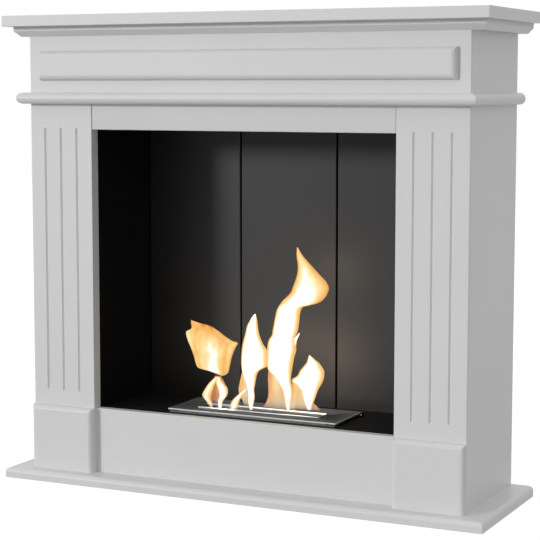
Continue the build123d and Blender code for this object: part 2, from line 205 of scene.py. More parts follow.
@dataclass(frozen=True)
class BareMdf(Finish):
    """Uncoated MDF: light brown pressed fibre with darker flecks, dull."""

    name: str = "bare_mdf"
    tone: str = "b2946c"
    fleck: str = "8d7049"
    black: str = "0c0c0c"
    shade_within_mm: float = 0.0  # painted shade: black up to this distance from the middle, so that the gaps beside the firebox show dark
    fleck_mm: float = 2.5  # real fibre flecks are under 1 mm, drawn coarser so that they show
    fleck_depth_mm: float = 0.1
    cloud_mm: float = 70.0

    def skin(self, tree: bpy.types.NodeTree) -> bpy.types.Node:
        """Builds the shader.

        Args:
            tree: The node tree that takes it.

        Returns:
            The shader's node.
        """
        place = object_place(tree)
        fleck = add(tree, "TexNoise", inputs={
            "Vector": place, "Scale": per_metre(self.fleck_mm), "Detail": 5.0, "Roughness": 0.7})
        cloud = add(tree, "TexNoise", inputs={"Vector": place, "Scale": per_metre(self.cloud_mm), "Detail": 3.0})
        both = add(tree, "Math", {"operation": "MULTIPLY"}, {0: fleck, 1: cloud})
        share = add(tree, "MapRange", inputs={"Value": both, "From Min": 0.12, "From Max": 0.42})
        colour = add(tree, "Mix", {"data_type": "RGBA"}, {
            "Factor": share, "A": linear(self.fleck), "B": linear(self.tone)})
        # painted shade: near-black where the lining faces the firebox
        side = add(tree, "Math", {"operation": "ABSOLUTE"}, {0: object_axes(tree)["X"]})
        inside = add(tree, "Math", {"operation": "LESS_THAN"}, {0: side, 1: self.shade_within_mm * MM})
        colour = add(tree, "Mix", {"data_type": "RGBA"}, {"Factor": inside, "A": colour, "B": linear(self.black)})
        bump = add(tree, "Bump", inputs={"Height": fleck, "Strength": 0.4, "Distance": self.fleck_depth_mm * MM})
        return add(tree, "BsdfPrincipled", inputs={"Base Color": colour, "Roughness": 0.82, "Normal": bump})


@dataclass(frozen=True)
class PlanedSpruce(Finish):
    """Planed spruce: pale yellow with darker late wood along the grain."""

    name: str
    grain: Grain
    early: str = "dcbf8e"
    late: str = "b98e58"
    ring_mm: float = 5.0
    length_ratio: float = 0.05  # how slowly a ring changes along the grain
    wander_mm: float = 28.0
    stray_mm: float = 12.0  # how far a ring strays from its line
    pore_mm: float = 0.9
    pore_depth_mm: float = 0.15

    def skin(self, tree: bpy.types.NodeTree) -> bpy.types.Node:
        """Builds the shader.

        Args:
            tree: The node tree that takes it.

        Returns:
            The shader's node.
        """
        place = object_place(tree, tuple(self.length_ratio if a else 1.0 for a in self.grain.value))
        wander = add(tree, "TexNoise", inputs={"Vector": place, "Scale": per_metre(self.wander_mm), "Detail": 2.0})
        shifted = add(tree, "VectorMath", {"operation": "SCALE"}, {
            0: wander.outputs["Color"], "Scale": self.stray_mm * MM})
        moved = add(tree, "VectorMath", {"operation": "ADD"}, {0: place, 1: shifted})
        rings = add(tree, "TexNoise", inputs={"Vector": moved, "Scale": per_metre(self.ring_mm), "Detail": 1.0})
        pores = add(tree, "TexNoise", inputs={"Vector": place, "Scale": per_metre(self.pore_mm), "Detail": 2.0})
        line = add(tree, "MapRange", inputs={"Value": rings, "From Min": 0.42, "From Max": 0.6})
        colour = add(tree, "Mix", {"data_type": "RGBA"}, {
            "Factor": line, "A": linear(self.early), "B": linear(self.late)})
        bump = add(tree, "Bump", inputs={"Height": pores, "Strength": 0.4, "Distance": self.pore_depth_mm * MM})
        return add(tree, "BsdfPrincipled", inputs={"Base Color": colour, "Roughness": 0.62, "Normal": bump})


@dataclass(frozen=True)
class StovePaint(Finish):
    """Heat-resistant paint sprayed on steel sheet: near black, fine dry grain."""

    name: str
    tone: str
    roughness: float
    ior: float = 1.5
    rough_spread: float = 0.03
    patch_mm: float = 120.0
    grain_mm: float = 1.6  # real spray grain is about 0.3 mm, drawn coarser so that it shows
    grain_depth_mm: float = 0.02

    def skin(self, tree: bpy.types.NodeTree) -> bpy.types.Node:
        """Builds the shader.

        Args:
            tree: The node tree that takes it.

        Returns:
            The shader's node.
        """
        place = object_place(tree)
        grit = add(tree, "TexNoise", inputs={"Vector": place, "Scale": per_metre(self.grain_mm), "Detail": 4.0})
        patch = add(tree, "TexNoise", inputs={"Vector": place, "Scale": per_metre(self.patch_mm), "Detail": 3.0})
        rough = add(tree, "MapRange", inputs={
            "Value": patch, "From Min": 0.3, "From Max": 0.7,
            "To Min": self.roughness - self.rough_spread, "To Max": self.roughness + self.rough_spread})
        bright = add(tree, "MapRange", inputs={"Value": patch, "To Min": 0.9, "To Max": 1.1})
        colour = add(tree, "HueSaturation", inputs={"Color": linear(self.tone), "Value": bright})
        bump = add(tree, "Bump", inputs={"Height": grit, "Strength": 0.5, "Distance": self.grain_depth_mm * MM})
        return add(tree, "BsdfPrincipled", inputs={
            "Base Color": colour, "Roughness": rough, "Normal": bump, "IOR": self.ior})


@dataclass(frozen=True)
class ZincPlate(Finish):
    """Zinc-plated steel: bluish grey metal, slightly cloudy."""

    name: str = "zinc_plate"
    tone: str = "c3c7ca"
    cloud_tone: str = "a9aba6"
    cloud_mm: float = 9.0
    scratch_mm: float = 1.2
    scratch_depth_mm: float = 0.02

    def skin(self, tree: bpy.types.NodeTree) -> bpy.types.Node:
        """Builds the shader.

        Args:
            tree: The node tree that takes it.

        Returns:
            The shader's node.
        """
        place = object_place(tree)
        cloud = add(tree, "TexNoise", inputs={"Vector": place, "Scale": per_metre(self.cloud_mm), "Detail": 4.0})
        scratch = add(tree, "TexNoise", inputs={"Vector": place, "Scale": per_metre(self.scratch_mm), "Detail": 3.0})
        colour = add(tree, "Mix", {"data_type": "RGBA"}, {
            "Factor": cloud, "A": linear(self.tone), "B": linear(self.cloud_tone)})
        rough = add(tree, "MapRange", inputs={"Value": cloud, "To Min": 0.28, "To Max": 0.46})
        bump = add(tree, "Bump", inputs={"Height": scratch, "Strength": 0.3, "Distance": self.scratch_depth_mm * MM})
        return add(tree, "BsdfPrincipled", inputs={
            "Base Color": colour, "Metallic": 1.0, "Roughness": rough, "Normal": bump})


@dataclass(frozen=True)
class BrushedStainless(Finish):
    """Brushed stainless steel: streaks along its length, dulled by heat near the flames, with a painted highlight on
    the slot's rim and the plate's edge.
    """

    name: str = "brushed_stainless"
    tone: str = "b6bcc4"
    tint: str = "a2a4a6"
    tint_share: float = 0.75
    tint_from_mm: float = 18.0  # both from the middle of the slot
    tint_to_mm: float = 46.0
    slot_y_mm: float = -6.0
    # painted highlight: a near-white, glossy colour on the slot's rim and on the plate's slanted edge
    painted_highlight: str = "f4f4f2"
    painted_highlight_rough: float = 0.12
    rim_from_mm: float = 152.1  # the rim round the slot stands over the plate's top
    edge_low_mm: float = 149.4
    edge_front_mm: float = 57.4  # the slanted edge begins this far in front of the middle
    edge_end_mm: float = 178.4
    highlight_edge_metal: float = 0.25  # painted highlight: low, so that with the pale colour the slanted edge shows as a bright line
    highlight_dim_end_mm: float = -125.0  # the painted highlight on the slot's rim is weaker towards its left end
    highlight_full_from_mm: float = -45.0
    streak_mm: float = 1.2  # real brush marks are about 0.1 mm, drawn coarser so that they show
    streak_depth_mm: float = 0.02
    streak_ratio: float = 0.02

    def skin(self, tree: bpy.types.NodeTree) -> bpy.types.Node:
        """Builds the shader.

        Args:
            tree: The node tree that takes it.

        Returns:
            The shader's node.
        """
        place = object_place(tree, (self.streak_ratio, 1.0, 1.0))
        streak = add(tree, "TexNoise", inputs={"Vector": place, "Scale": per_metre(self.streak_mm), "Detail": 4.0})
        at = object_axes(tree)
        away = add(tree, "Math", {"operation": "SUBTRACT"}, {0: at["Y"], 1: self.slot_y_mm * MM})
        away = add(tree, "Math", {"operation": "ABSOLUTE"}, {0: away})
        heat = add(tree, "MapRange", {"interpolation_type": "SMOOTHSTEP"}, {
            "Value": away, "From Min": self.tint_from_mm * MM, "From Max": self.tint_to_mm * MM,
            "To Min": self.tint_share, "To Max": 0.0})
        colour = add(tree, "Mix", {"data_type": "RGBA"}, {
            "Factor": heat, "A": linear(self.tone), "B": linear(self.tint)})
        # painted highlight on the rim, weaker towards the rim's left end
        rim_highlight_fade = add(tree, "MapRange", inputs={
            "Value": at["X"], "From Min": self.highlight_dim_end_mm * MM, "From Max": self.highlight_full_from_mm * MM,
            "To Min": 0.1, "To Max": 0.9})
        rim = add(tree, "Math", {"operation": "MULTIPLY"}, {0: self.over(tree, at["Z"], self.rim_from_mm), 1: rim_highlight_fade})
        end = add(tree, "Math", {"operation": "ABSOLUTE"}, {0: at["X"]})
        front = add(tree, "Math", {"operation": "MULTIPLY"}, {0: at["Y"], 1: -1.0})
        # painted highlight on the plate's slanted front and end edges
        edge = add(tree, "Math", {"operation": "MAXIMUM"}, {
            0: self.over(tree, end, self.edge_end_mm), 1: self.over(tree, front, self.edge_front_mm)})
        edge = add(tree, "Math", {"operation": "MULTIPLY"}, {0: edge, 1: self.over(tree, at["Z"], self.edge_low_mm)})
        # painted highlight: pale colour, low roughness and, on the edge, low metal
        highlight_mask = add(tree, "Math", {"operation": "MAXIMUM"}, {0: rim, 1: edge})
        metal = add(tree, "MapRange", inputs={"Value": edge, "To Min": 0.88, "To Max": self.highlight_edge_metal})
        colour = add(tree, "Mix", {"data_type": "RGBA"}, {"Factor": highlight_mask, "A": colour, "B": linear(self.painted_highlight)})
        rough = add(tree, "MapRange", inputs={"Value": streak, "To Min": 0.38, "To Max": 0.48})
        rough = add(tree, "Mix", inputs={"Factor": highlight_mask, "A": rough, "B": self.painted_highlight_rough})
        bump = add(tree, "Bump", inputs={"Height": streak, "Strength": 0.15, "Distance": self.streak_depth_mm * MM})
        return add(tree, "BsdfPrincipled", inputs={
            "Base Color": colour, "Metallic": metal, "Roughness": rough, "Normal": bump})

    def over(self, tree: bpy.types.NodeTree, value: bpy.types.NodeSocket | bpy.types.Node,
             limit_mm: float) -> bpy.types.Node:
        """Gives 1 where a coordinate is over a limit."""
        return add(tree, "Math", {"operation": "GREATER_THAN"}, {0: value, 1: limit_mm * MM})


@dataclass(frozen=True)
class CeramicFibre(Finish):
    """Pressed ceramic fibre: chalk white, dry and felted, faintly yellowed by fuel."""

    name: str = "ceramic_fibre"
    tone: str = "ece8df"
    stain: str = "cbbf9f"
    stain_mm: float = 34.0
    felt_mm: float = 1.8
    felt_depth_mm: float = 0.4

    def skin(self, tree: bpy.types.NodeTree) -> bpy.types.Node:
        """Builds the shader.

        Args:
            tree: The node tree that takes it.

        Returns:
            The shader's node.
        """
        place = object_place(tree)
        felt = add(tree, "TexNoise", inputs={
            "Vector": place, "Scale": per_metre(self.felt_mm), "Detail": 5.0, "Distortion": 1.5})
        stain = add(tree, "TexNoise", inputs={"Vector": place, "Scale": per_metre(self.stain_mm), "Detail": 2.0})
        share = add(tree, "MapRange", inputs={"Value": stain, "From Min": 0.5, "From Max": 0.8})
        colour = add(tree, "Mix", {"data_type": "RGBA"}, {
            "Factor": share, "A": linear(self.tone), "B": linear(self.stain)})
        bump = add(tree, "Bump", inputs={"Height": felt, "Strength": 0.8, "Distance": self.felt_depth_mm * MM})
        return add(tree, "BsdfPrincipled", inputs={"Base Color": colour, "Roughness": 0.95, "Normal": bump})


@dataclass(frozen=True)
class BlackOxide(Finish):
    """Black-oxidised turned steel: dark, slightly oily sheen."""

    name: str = "black_oxide"
    tone: str = "1a1a1b"
    mark_mm: float = 2.0
    mark_ratio: float = 12.0  # how much closer the tool's marks stand along the axis

    def skin(self, tree: bpy.types.NodeTree) -> bpy.types.Node:
        """Builds the shader.

        Args:
            tree: The node tree that takes it.

        Returns:
            The shader's node.
        """
        place = object_place(tree, (1.0, self.mark_ratio, 1.0))
        turning = add(tree, "TexNoise", inputs={"Vector": place, "Scale": per_metre(self.mark_mm), "Detail": 2.0})
        rough = add(tree, "MapRange", inputs={"Value": turning, "To Min": 0.3, "To Max": 0.45})
        return add(tree, "BsdfPrincipled", inputs={
            "Base Color": linear(self.tone), "Metallic": 0.6, "Roughness": rough})


@dataclass(frozen=True)
class AlcoholFlame(Finish):
    """Burning bioethanol: white-hot where it is thick, cream and orange at its edges, mauve and clear at its foot."""

    name: str = "alcohol_flame"
    tones: tuple[tuple[float, str], ...] = (
        (0.0, "a9622a"), (0.22, "f49a48"), (0.45, "ffcf7e"), (0.62, "fff2bd"))  # from the edges inwards
    core_from: float = 0.82
    core: str = "fffff6"
    foot: str = "d8bcb4"
    foot_low_mm: float = 153.0
    foot_high_mm: float = 208.0
    foot_cool: float = 0.14
    glow: float = 2.0
    wisp_mm: float = 24.0
    wisp_ratio: float = 0.4
    wisp_heat: float = 0.16
    thick: float = 0.93  # how solid the flame looks where it is hot

    def shown(self, hex_colour: str) -> tuple[float, float, float, float]:
        """The colour that the flame's glow brings up to the given one."""
        red, green, blue, _ = linear(hex_colour)
        return red / self.glow, green / self.glow, blue / self.glow, 1.0

    def skin(self, tree: bpy.types.NodeTree) -> bpy.types.Node:
        """Builds the shader from the heat and height that the flames keep on their vertices.

        Args:
            tree: The node tree that takes it.

        Returns:
            The shader's node.
        """
        warmth, rise, mottle, mauve = (
            add(tree, "Attribute", {"attribute_name": name}).outputs["Fac"]
            for name in ("warmth", "rise", "mottle", "mauve"))
        wisp = add(tree, "TexNoise", inputs={
            "Vector": object_place(tree, (1.0, 1.0, self.wisp_ratio)), "Scale": per_metre(self.wisp_mm),
            "Detail": 2.0})
        stir = add(tree, "MapRange", inputs={"Value": wisp, "To Min": -self.wisp_heat, "To Max": self.wisp_heat})
        hot = add(tree, "Math", {"operation": "MULTIPLY_ADD", "use_clamp": True}, {0: stir, 1: mottle, 2: warmth})
        ramp = add(tree, "ValToRGB", inputs={"Fac": hot})
        stops = [(place, self.shown(tone)) for place, tone in self.tones]
        colour_stops(ramp, [*stops, (self.core_from, linear(self.core))])
        low = add(tree, "MapRange", {"interpolation_type": "SMOOTHSTEP"}, {
            "Value": object_axes(tree)["Z"], "From Min": self.foot_low_mm * MM, "From Max": self.foot_high_mm * MM,
            "To Min": 0.95, "To Max": 0.0})
        chill = add(tree, "MapRange", inputs={"Value": low, "To Min": 0.3, "To Max": 1.0})
        chill = add(tree, "Math", {"operation": "MULTIPLY"}, {0: chill, 1: mauve})
        cool = add(tree, "Math", {"operation": "MULTIPLY_ADD", "use_clamp": True}, {
            0: low, 1: self.foot_cool, 2: chill})
        colour = add(tree, "Mix", {"data_type": "RGBA"}, {"Factor": cool, "A": ramp, "B": self.shown(self.foot)})
        veil = add(tree, "MapRange", {"interpolation_type": "SMOOTHSTEP"}, {
            "Value": hot, "From Min": 0.0, "From Max": 0.42, "To Min": 0.0, "To Max": self.thick})
        lift = add(tree, "MapRange", {"interpolation_type": "SMOOTHSTEP"}, {
            "Value": low, "From Min": 0.2, "From Max": 0.95, "To Min": 1.0, "To Max": 0.75})
        tail = add(tree, "MapRange", {"interpolation_type": "SMOOTHSTEP"}, {
            "Value": rise, "From Min": 0.0, "From Max": 0.15, "To Min": 0.45, "To Max": 1.0})
        thin = add(tree, "MapRange", inputs={"Value": chill, "To Min": 1.0, "To Max": 0.45})
        alpha = veil
        for share in (lift, tail, thin):
            alpha = add(tree, "Math", {"operation": "MULTIPLY"}, {0: alpha, 1: share})
        return add(tree, "BsdfPrincipled", inputs={
            "Base Color": linear("000000"), "Roughness": 1.0, "Specular IOR Level": 0.0,
            "Emission Color": colour, "Emission Strength": self.glow, "Alpha": alpha})


@dataclass(frozen=True)
class DimCloth(Finish):
    """Grey cloth, evenly lit, which only reflections show."""

    name: str = "grey_curtain"
    brightness: float = 0.3

    def skin(self, tree: bpy.types.NodeTree) -> bpy.types.Node:
        """Builds the shader."""
        return add(tree, "Emission", inputs={"Color": WHITE, "Strength": self.brightness})


@dataclass(frozen=True)
class PaleFloor(Finish):
    """Matt pale floor, brighter to the eye than as a light on the object."""

    name: str = "pale_floor"
    tone: str = "b1b1b1"
    brightness: float = 1.8
    bright_share: float = 0.5

    def skin(self, tree: bpy.types.NodeTree) -> bpy.types.Node:
        """Builds the shader.

        Args:
            tree: The node tree that takes it.

        Returns:
            The shader's node.
        """
        share = add(tree, "Math", {"operation": "MULTIPLY"}, {0: seen_straight(tree), 1: self.bright_share})
        matt = add(tree, "BsdfDiffuse", inputs={"Color": linear(self.tone)})
        bright = add(tree, "Emission", inputs={"Strength": self.brightness, "Color": WHITE})
        return add(tree, "MixShader", inputs={"Fac": share, 1: matt, 2: bright})


def put(name: str, data: bpy.types.ID) -> bpy.types.Object:
    """Puts a mesh, a lamp or a lens into the scene.

    Args:
        name: The object's name.
        data: What it holds.

    Returns:
        The new object.
    """
    thing = bpy.data.objects.new(name, data)
    bpy.context.scene.collection.objects.link(thing)
    return thing


def mesh_of(name: str, shape: bmesh.types.BMesh, material: bpy.types.Material) -> bpy.types.Mesh:
    """Turns a bmesh into a mesh.

    Args:
        name: The mesh's name.
        shape: The bmesh, which is freed here.
        material: Its finish.

    Returns:
        The mesh.
    """
    mesh = bpy.data.meshes.new(name)
    shape.to_mesh(mesh)
    shape.free()
    mesh.materials.append(material)
    return mesh


def finish_piece(
    name: str,
    shape: bmesh.types.BMesh,
    material: bpy.types.Material,
    body: str,
    smooth_angle: float | None = None,
) -> bpy.types.Object:
    """Turns a bmesh into a piece that rides on a body.

    Args:
        name: The piece's name.
        shape: Its mesh, in place, which is freed here.
        material: Its finish.
        body: The CAD body that it moves with.
        smooth_angle: Edges flatter than this are shaded smooth; None leaves every face flat.

    Returns:
        The new object.
    """
    mesh = mesh_of(name, shape, material)
    if smooth_angle is not None:
        mesh.shade_smooth()
        mesh.set_sharp_from_angle(angle=math.radians(smooth_angle))
    piece = put(name, mesh)
    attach(piece, body)
    return piece


def add_block(shape: bmesh.types.BMesh, middle_mm: tuple[float, float, float],
              size_mm: tuple[float, float, float]) -> list[bmesh.types.BMVert]:
    """Adds a block to a mesh.

    Args:
        shape: The mesh that takes it.
        middle_mm: Where its middle goes.
        size_mm: Its length along each axis.

    Returns:
        Its corners.
    """
    place = Matrix.Translation(Vector(middle_mm) * MM) @ Matrix.Diagonal((*(Vector(size_mm) * MM), 1.0))
    return bmesh.ops.create_cube(shape, size=1.0, matrix=place)["verts"]


def dress_nodes(names: tuple[str, ...], finish: Finish) -> None:
    """Gives CAD nodes their finish.

    Args:
        names: The nodes.
        finish: Their finish.
    """
    material = finish.make()
    for name in names:
        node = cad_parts[name]
        if not node.material_slots:
            node.data.materials.append(material)
        for holder in node.material_slots:
            holder.material = material


def material_of(name: str) -> bpy.types.Material:
    """The material that a CAD node was dressed in."""
    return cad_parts[name].material_slots[0].material


@dataclass
class Surround:
    """The white mantel surround with its hidden boards and bars."""

    lacquered: tuple[str, ...] = (
        "base_board", "left_column", "right_column", "left_side_panel", "right_side_panel",
        "left_plinth_block", "right_plinth_block", "lower_front_panel", "header_panel", "bullnose_board",
        "frieze_front", "left_frieze_return", "right_frieze_return", "raised_field", "crown_board",
        "mantel_shelf",
    )
    bare: tuple[str, ...] = ("rear_bottom_rail", "rear_top_rail")
    lining: tuple[str, ...] = ("left_inner_panel", "right_inner_panel")
    # painted shade on the lining, up to this distance from the middle
    lining_shade_mm: float = 319.5
    bearers: tuple[str, ...] = ("front_hearth_bearer", "rear_hearth_bearer")
    blocks: tuple[str, ...] = ("glue_blocks",)
    header_low_mm: float = 699.0
    header_back_mm: float = -88.0
    header_mm: tuple[float, float, float] = (635.0, 22.0, 49.5)
    joint_bevel_mm: float = 1.9
    arris_mm: float = 1.0
    arris_steps: int = 3
    reach_mm: float = 0.1  # added to a limit, so that corners on it are caught

    def build(self) -> list[bpy.types.Object]:
        """Dresses the boards and builds the header board."""
        self.dress()
        return [self.add_header()]

    def dress(self) -> None:
        """Paints the outside, leaves the inside bare, and paints shade black on the lining's inner faces."""
        dress_nodes(self.lacquered, SatinLacquer())
        dress_nodes(self.bare, BareMdf())
        dress_nodes(self.lining, BareMdf("bare_mdf_shaded_inside", shade_within_mm=self.lining_shade_mm))
        dress_nodes(self.bearers, PlanedSpruce("planed_spruce_along_x", Grain.ALONG_X))
        dress_nodes(self.blocks, PlanedSpruce("planed_spruce_along_z", Grain.ALONG_Z))

    def add_header(self) -> bpy.types.Object:
        """Builds the header board nearly flush with the columns, its ends bevelled to a V joint.

        Returns:
            The piece, which stands for the thinner CAD board.
        """
        _, deep, tall = self.header_mm
        shape = bmesh.new()
        add_block(shape, (0, self.header_back_mm - deep / 2, self.header_low_mm + tall / 2), self.header_mm)
        ends = [edge for edge in self.face_edges(shape)
                if abs(edge.verts[0].co.z - edge.verts[1].co.z) > tall / 2 * MM]
        self.ease_edges(shape, ends, self.joint_bevel_mm, 1)
        low = (self.header_low_mm + self.reach_mm) * MM
        lower = [edge for edge in self.face_edges(shape) if all(vert.co.z < low for vert in edge.verts)]
        self.ease_edges(shape, lower, self.arris_mm, self.arris_steps)
        piece = finish_piece("flush_header_board", shape, material_of("header_panel"), "surround",
                             smooth_angle=35.0)
        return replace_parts(piece, "header_panel")

    def face_edges(self, shape: bmesh.types.BMesh) -> list[bmesh.types.BMEdge]:
        """The edges at the header board's face, as far back as its bevels."""
        face = (self.header_back_mm - self.header_mm[1] + self.joint_bevel_mm + self.reach_mm) * MM
        return [edge for edge in shape.edges if all(vert.co.y < face for vert in edge.verts)]

    def ease_edges(self, shape: bmesh.types.BMesh, edges: list[bmesh.types.BMEdge], width_mm: float,
                   steps: int) -> None:
        """Bevels edges of the header board."""
        bmesh.ops.bevel(shape, geom=edges, offset=width_mm * MM, offset_type="OFFSET", affect="EDGES",
                        segments=steps, profile=0.5, material=-1)


@dataclass
class Firebox:
    """Black steel lining: walls, floor, ceiling, three folded back panels, their seals, angles and screws."""

    black: tuple[str, ...] = ("firebox_left_wall", "firebox_right_wall", "firebox_ceiling")
    hearth: tuple[str, ...] = ("hearth_floor",)
    folded: tuple[str, ...] = ("firebox_back_left", "firebox_back_centre", "firebox_back_right")
    angles: tuple[str, ...] = ("lower_back_angle", "upper_back_angle")
    screw_x_mm: tuple[float, ...] = (-309.25, -114.08, -97.58, 97.58, 114.08, 309.25)
    screw_z_mm: tuple[float, ...] = (225.0, 624.0)
    seat_y_mm: float = 129.5
    flats_mm: float = 7.0
    head_mm: float = 2.6
    head_chamfer_mm: tuple[float, float] = (0.6, 0.5)  # across and down
    washer_r_mm: float = 4.5
    washer_mm: float = 0.7
    washer_slope_mm: float = 0.4
    shank_r_mm: float = 2.0
    shank_mm: float = 8.0
    seam_x_mm: tuple[float, ...] = (-317.62, -105.833, 105.833, 317.62)
    seal_w_mm: tuple[float, ...] = (2.7, 2.4, 2.4, 2.7)
    seal_y_mm: tuple[float, float] = (121.0, 125.0)
    seal_z_mm: tuple[float, float] = (145.5, 703.5)

    def build(self) -> list[bpy.types.Object]:
        """Dresses the sheets and builds the screws and the seals."""
        self.dress()
        return [self.add_screws(), self.add_seals()]

    def dress(self) -> None:
        """Paints the sheets and plates the angles."""
        dress_nodes(self.black, StovePaint("matt_black_stove_paint", "0b0b0b", 0.5, 1.3))
        dress_nodes(self.hearth, StovePaint("black_hearth_paint", "0e0e0e", 0.62, 1.4))
        dress_nodes(self.folded, StovePaint("satin_graphite_stove_paint", "171615", 0.42, 1.46))
        dress_nodes(self.angles, ZincPlate())

    def add_seals(self) -> bpy.types.Object:
        """Builds the black seals that close the joints beside the folded panels.

        Returns:
            The piece.
        """
        (front, back), (low, high) = self.seal_y_mm, self.seal_z_mm
        shape = bmesh.new()
        for x, width in zip(self.seam_x_mm, self.seal_w_mm):
            add_block(shape, (x, (front + back) / 2, (low + high) / 2), (width, back - front, high - low))
        seal = StovePaint("black_stove_seal", "0a0a0a", 0.85, 1.3).make()
        return finish_piece("panel_joint_seals", shape, seal, "surround")

    def add_screws(self) -> bpy.types.Object:
        """Builds the hexagon washer-head screws at the back of the angles.

        Returns:
            The piece, which stands for the plain CAD screws.
        """
        shape = bmesh.new()
        for x in self.screw_x_mm:
            for z in self.screw_z_mm:
                self.turn_screw(shape, Vector((x, self.seat_y_mm, z)) * MM)
        zinc = ZincPlate("zinc_plate_screws").make()
        piece = finish_piece("hex_washer_screws", shape, zinc, "surround", smooth_angle=30.0)
        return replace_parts(piece, "back_panel_screws")

    def turn_screw(self, shape: bmesh.types.BMesh, seat: Vector) -> None:
        """Adds one screw: chamfered hexagon, pressed washer and shank.

        Args:
            shape: The mesh that takes it.
            seat: Where the washer meets the angle.
        """
        upright = Matrix.Translation(seat) @ Matrix.Rotation(-math.pi / 2, 4, "X")
        corner = self.flats_mm / 2 / math.cos(math.pi / 6)
        across, down = self.head_chamfer_mm
        for segments, lower, upper, start, depth in (
            (24, self.washer_r_mm, self.washer_r_mm - self.washer_slope_mm, 0.0, self.washer_mm),
            (6, corner, corner, self.washer_mm, self.head_mm - self.washer_mm - down),
            (6, corner, corner - across, self.head_mm - down, down),
            (16, self.shank_r_mm, self.shank_r_mm, -self.shank_mm, self.shank_mm),
        ):
            middle = Matrix.Translation(Vector((0, 0, start + depth / 2)) * MM)
            bmesh.ops.create_cone(
                shape, cap_ends=True, segments=segments, radius1=lower * MM, radius2=upper * MM,
                depth=depth * MM, matrix=upright @ middle)


@dataclass
class Burner:
    """Stainless slot burner: tray, plate, shutter, fibre bed and knob."""

    steel: tuple[str, ...] = (
        "burner_plate", "left_shutter_guide", "right_shutter_guide", "shutter_blade", "shutter_handle",
    )
    # painted shade: these get a darker copy of the brushed steel
    shade_darkened: tuple[str, ...] = ("fuel_tray", "front_plate_spacer", "rear_plate_spacer")
    plate_half_mm: tuple[float, float] = (180.0, 65.0)
    plate_middle_y_mm: float = 6.0
    plate_top_mm: float = 152.0
    plate_slant_mm: float = 1.5
    corner_reach_mm: float = 3.0  # corners this near to the plate's edge are drawn in
    level_mm: float = 0.1  # heights nearer than this are the same
    slot_y_mm: float = -6.0
    slot_arc_mm: tuple[float, float] = (128.0, 16.0)  # middles of the slot's corner arcs
    rim_inner_mm: float = 3.0
    rim_outer_mm: float = 4.5
    rim_top_mm: float = 154.0
    rim_slant_mm: float = 1.2
    bed_mm: tuple[float, float] = (291.4, 105.4)
    bed_cells: tuple[int, int] = (90, 34)
    bed_middle_y_mm: float = 6.0
    bed_low_mm: float = 87.3
    bed_high_mm: float = 117.3
    bed_corner_mm: float = 8.0
    bed_sink_mm: float = 0.8
    bed_waves: tuple[tuple[float, float], ...] = ((55.0, 0.5), (190.0, 0.3))  # how many to the metre, height in mm
    knob_mm: tuple[float, float, float] = (185.7, 56.0, 148.8)
    knob_r_mm: float = 3.6
    knob_l_mm: float = 8.0
    knob_chamfer_mm: float = 0.6
    knob_steps: int = 40
    waist_deep_mm: float = 0.35
    waist_half_mm: tuple[float, float] = (1.0, 1.4)  # at its bottom and at its top
    pin_r_mm: float = 1.6
    pin_out_mm: float = 0.5
    pin_gap_mm: float = 0.1
    pin_chamfer_mm: float = 0.15
    well_mm: tuple[float, float] = (0.5, 0.3)  # the hollow round the pin, its width and depth
    neck_mm: tuple[float, float, float] = (4.2, 4.5, 1.0)
    neck_start_mm: float = 181.5

    def build(self) -> list[bpy.types.Object]:
        """Dresses the steel and builds the bed, the plate and the knob."""
        self.dress()
        return [self.add_bed(), self.add_plate(), self.add_knob()]

    def dress(self) -> None:
        """Brushes the steel, and gives the tray and the spacers a darker copy of it as painted shade."""
        dress_nodes(self.steel, BrushedStainless())
        # painted shade: the same steel, darker, where the tray and the spacers sit in shadow
        dress_nodes(self.shade_darkened, BrushedStainless("shade_darkened_stainless", "7e7f80", "747576"))

    def add_plate(self) -> bpy.types.Object:
        """Slants the plate's edge and the rim of its slot, which catch the light.

        Returns:
            The piece, which stands for the square-edged CAD plate.
        """
        shape = bmesh.new()
        shape.from_mesh(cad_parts["burner_plate"].data)
        bmesh.ops.remove_doubles(shape, verts=shape.verts, dist=WELD_M)
        bmesh.ops.bisect_plane(
            shape, geom=[*shape.verts, *shape.edges, *shape.faces], dist=WELD_M,
            plane_co=(0, 0, self.plate_top_mm * MM), plane_no=(0, 0, 1))
        for vert in shape.verts:
            if abs(vert.co.z / MM - self.plate_top_mm) < self.level_mm:
                self.slant_edge(vert)
            elif vert.co.z / MM > self.plate_top_mm:
                self.slant_rim(vert)
        piece = finish_piece("slant_edged_plate", shape, material_of("burner_plate"), "burner",
                             smooth_angle=12.0)
        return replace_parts(piece, "burner_plate")

    def slant_edge(self, vert: bmesh.types.BMVert) -> None:
        """Draws a corner of the plate's upper edge inwards.

        Args:
            vert: A corner at the height of the plate's top.
        """
        x, y = vert.co.x / MM, vert.co.y / MM - self.plate_middle_y_mm
        at_end, at_side = (abs(place) > half - self.corner_reach_mm
                           for place, half in zip((x, y), self.plate_half_mm))
        if at_end or at_side:
            x -= math.copysign(self.plate_slant_mm if at_end else 0.0, x)
            y -= math.copysign(self.plate_slant_mm if at_side else 0.0, y)
            vert.co.x, vert.co.y = x * MM, (y + self.plate_middle_y_mm) * MM

    def slant_rim(self, vert: bmesh.types.BMVert) -> None:
        """Slants the side of the rim that faces the front, at the front outside and at the back inside.

        Args:
            vert: A corner at the rim's top.
        """
        arc_x, arc_y = self.slot_arc_mm
        x, y = vert.co.x / MM, vert.co.y / MM - self.slot_y_mm
        corner = Vector((math.copysign(min(abs(x), arc_x), x), math.copysign(min(abs(y), arc_y), y)))
        out = Vector((x, y)) - corner
        outside = out.length > (self.rim_inner_mm + self.rim_outer_mm) / 2
        at_back = y > arc_y or x < -arc_x
        if outside and not at_back:
            out *= (self.rim_outer_mm - self.rim_slant_mm) / self.rim_outer_mm
        elif at_back and not outside:
            out *= (self.rim_inner_mm + self.rim_slant_mm) / self.rim_inner_mm
        place = corner + out
        vert.co = Vector((place.x, place.y + self.slot_y_mm, self.rim_top_mm)) * MM

